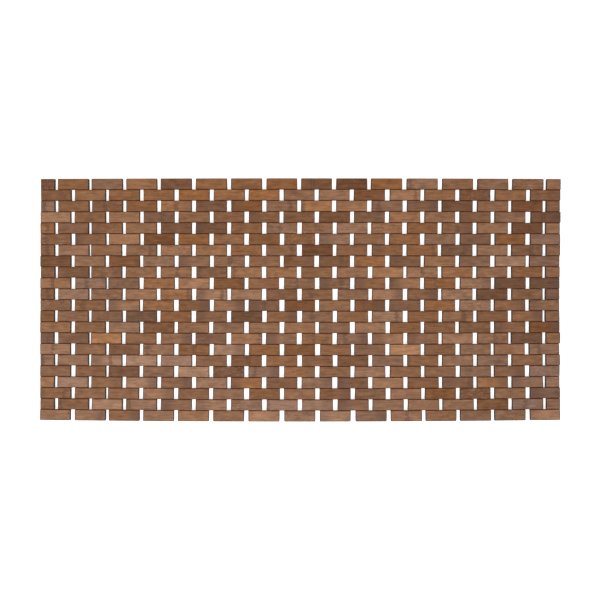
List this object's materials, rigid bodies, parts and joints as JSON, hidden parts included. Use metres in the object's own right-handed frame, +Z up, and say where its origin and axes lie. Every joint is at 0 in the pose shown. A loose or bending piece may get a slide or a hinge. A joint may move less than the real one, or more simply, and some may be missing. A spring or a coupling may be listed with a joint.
{
  "type": "bath mat",
  "caption": "Rectangular roll-up bath mat of short brown bamboo blocks in brick-bond rows, threaded on flexible cords, lying flat.",
  "frame": {"origin": "centre of the mat on the floor that it lies on", "axes": "+X along the mat's long side, +Y along the cords, +Z up through its thickness"},
  "size_m": [0.8548, 0.4, 0.008],
  "materials": {
    "bamboo": "matt",
    "cord": "matt"
  },
  "bodies": {
    "left_end": {"left_half_block_row_01": "bamboo", "left_half_block_row_03": "bamboo", "left_half_block_row_05": "bamboo", "left_half_block_row_07": "bamboo", "left_half_block_row_09": "bamboo", "left_half_block_row_11": "bamboo", "left_half_block_row_13": "bamboo", "left_half_block_row_15": "bamboo", "left_half_block_row_17": "bamboo", "left_half_block_row_19": "bamboo", "left_half_block_row_21": "bamboo"},
    "column_01": {"block_column_01": "bamboo"},
    "column_02": {"block_column_02": "bamboo"},
    "column_03": {"block_column_03": "bamboo"},
    "column_04": {"block_column_04": "bamboo"},
    "column_05": {"block_column_05": "bamboo"},
    "column_06": {"block_column_06": "bamboo"},
    "column_07": {"block_column_07": "bamboo"},
    "column_08": {"block_column_08": "bamboo"},
    "column_09": {"block_column_09": "bamboo"},
    "column_10": {"block_column_10": "bamboo"},
    "column_11": {"block_column_11": "bamboo"},
    "column_12": {"block_column_12": "bamboo"},
    "column_13": {"block_column_13": "bamboo"},
    "column_14": {"block_column_14": "bamboo"},
    "column_15": {"block_column_15": "bamboo"},
    "column_16": {"block_column_16": "bamboo"},
    "column_17": {"block_column_17": "bamboo"},
    "column_18": {"block_column_18": "bamboo"},
    "column_19": {"block_column_19": "bamboo"},
    "column_20": {"block_column_20": "bamboo"},
    "column_21": {"block_column_21": "bamboo"},
    "column_22": {"block_column_22": "bamboo"},
    "column_23": {"block_column_23": "bamboo"},
    "column_24": {"block_column_24": "bamboo"},
    "column_25": {"block_column_25": "bamboo"},
    "column_26": {"block_column_26": "bamboo"},
    "column_27": {"block_column_27": "bamboo"},
    "column_28": {"block_column_28": "bamboo"},
    "column_29": {"block_column_29": "bamboo"},
    "right_end": {"cord_30": "cord", "right_half_block_row_01": "bamboo", "right_half_block_row_03": "bamboo", "right_half_block_row_05": "bamboo", "right_half_block_row_07": "bamboo", "right_half_block_row_09": "bamboo", "right_half_block_row_11": "bamboo", "right_half_block_row_13": "bamboo", "right_half_block_row_15": "bamboo", "right_half_block_row_17": "bamboo", "right_half_block_row_19": "bamboo", "right_half_block_row_21": "bamboo"}
  },
  "joints": [
    {"name": "hinge_01", "type": "hinge", "parent": "column_01", "child": "left_end", "pos_m": [-0.416, 0, 0.004], "axis": [0, 1, 0], "range_deg": [0, 25]},
    {"name": "hinge_02", "type": "hinge", "parent": "column_02", "child": "column_01", "pos_m": [-0.38803, 0, 0.004], "axis": [0, 1, 0], "range_deg": [0, 25]},
    {"name": "hinge_03", "type": "hinge", "parent": "column_03", "child": "column_02", "pos_m": [-0.35991, 0, 0.004], "axis": [0, 1, 0], "range_deg": [0, 25]},
    {"name": "hinge_04", "type": "hinge", "parent": "column_04", "child": "column_03", "pos_m": [-0.33165, 0, 0.004], "axis": [0, 1, 0], "range_deg": [0, 25]},
    {"name": "hinge_05", "type": "hinge", "parent": "column_05", "child": "column_04", "pos_m": [-0.30325, 0, 0.004], "axis": [0, 1, 0], "range_deg": [0, 25]},
    {"name": "hinge_06", "type": "hinge", "parent": "column_06", "child": "column_05", "pos_m": [-0.27473, 0, 0.004], "axis": [0, 1, 0], "range_deg": [0, 25]},
    {"name": "hinge_07", "type": "hinge", "parent": "column_07", "child": "column_06", "pos_m": [-0.2461, 0, 0.004], "axis": [0, 1, 0], "range_deg": [0, 25]},
    {"name": "hinge_08", "type": "hinge", "parent": "column_08", "child": "column_07", "pos_m": [-0.21738, 0, 0.004], "axis": [0, 1, 0], "range_deg": [0, 25]},
    {"name": "hinge_09", "type": "hinge", "parent": "column_09", "child": "column_08", "pos_m": [-0.18857, 0, 0.004], "axis": [0, 1, 0], "range_deg": [0, 16]},
    {"name": "hinge_10", "type": "hinge", "parent": "column_10", "child": "column_09", "pos_m": [-0.15968, 0, 0.004], "axis": [0, 1, 0], "range_deg": [0, 6]},
    {"name": "hinge_11", "type": "hinge", "parent": "column_10", "child": "column_11", "pos_m": [-0.13074, 0, 0.004], "axis": [0, -1, 0], "range_deg": [0, 6]},
    {"name": "hinge_12", "type": "hinge", "parent": "column_11", "child": "column_12", "pos_m": [-0.10174, 0, 0.004], "axis": [0, -1, 0], "range_deg": [0, 16]},
    {"name": "hinge_13", "type": "hinge", "parent": "column_12", "child": "column_13", "pos_m": [-0.0727, 0, 0.004], "axis": [0, -1, 0], "range_deg": [0, 28]},
    {"name": "hinge_14", "type": "hinge", "parent": "column_13", "child": "column_14", "pos_m": [-0.04363, 0, 0.004], "axis": [0, -1, 0], "range_deg": [0, 29]},
    {"name": "hinge_15", "type": "hinge", "parent": "column_14", "child": "column_15", "pos_m": [-0.01455, 0, 0.004], "axis": [0, -1, 0], "range_deg": [0, 29]},
    {"name": "hinge_16", "type": "hinge", "parent": "column_15", "child": "column_16", "pos_m": [0.01455, 0, 0.004], "axis": [0, -1, 0], "range_deg": [0, 30]},
    {"name": "hinge_17", "type": "hinge", "parent": "column_16", "child": "column_17", "pos_m": [0.04363, 0, 0.004], "axis": [0, -1, 0], "range_deg": [0, 31]},
    {"name": "hinge_18", "type": "hinge", "parent": "column_17", "child": "column_18", "pos_m": [0.0727, 0, 0.004], "axis": [0, -1, 0], "range_deg": [0, 32]},
    {"name": "hinge_19", "type": "hinge", "parent": "column_18", "child": "column_19", "pos_m": [0.10174, 0, 0.004], "axis": [0, -1, 0], "range_deg": [0, 33]},
    {"name": "hinge_20", "type": "hinge", "parent": "column_19", "child": "column_20", "pos_m": [0.13074, 0, 0.004], "axis": [0, -1, 0], "range_deg": [0, 34]},
    {"name": "hinge_21", "type": "hinge", "parent": "column_20", "child": "column_21", "pos_m": [0.15968, 0, 0.004], "axis": [0, -1, 0], "range_deg": [0, 35]},
    {"name": "hinge_22", "type": "hinge", "parent": "column_21", "child": "column_22", "pos_m": [0.18857, 0, 0.004], "axis": [0, -1, 0], "range_deg": [0, 36]},
    {"name": "hinge_23", "type": "hinge", "parent": "column_22", "child": "column_23", "pos_m": [0.21738, 0, 0.004], "axis": [0, -1, 0], "range_deg": [0, 38]},
    {"name": "hinge_24", "type": "hinge", "parent": "column_23", "child": "column_24", "pos_m": [0.2461, 0, 0.004], "axis": [0, -1, 0], "range_deg": [0, 39]},
    {"name": "hinge_25", "type": "hinge", "parent": "column_24", "child": "column_25", "pos_m": [0.27473, 0, 0.004], "axis": [0, -1, 0], "range_deg": [0, 41]},
    {"name": "hinge_26", "type": "hinge", "parent": "column_25", "child": "column_26", "pos_m": [0.30325, 0, 0.004], "axis": [0, -1, 0], "range_deg": [0, 44]},
    {"name": "hinge_27", "type": "hinge", "parent": "column_26", "child": "column_27", "pos_m": [0.33165, 0, 0.004], "axis": [0, -1, 0], "range_deg": [0, 47]},
    {"name": "hinge_28", "type": "hinge", "parent": "column_27", "child": "column_28", "pos_m": [0.35991, 0, 0.004], "axis": [0, -1, 0], "range_deg": [0, 50]},
    {"name": "hinge_29", "type": "hinge", "parent": "column_28", "child": "column_29", "pos_m": [0.38803, 0, 0.004], "axis": [0, -1, 0], "range_deg": [0, 56]},
    {"name": "hinge_30", "type": "hinge", "parent": "column_29", "child": "right_end", "pos_m": [0.416, 0, 0.004], "axis": [0, -1, 0], "range_deg": [0, 64]}
  ]
}
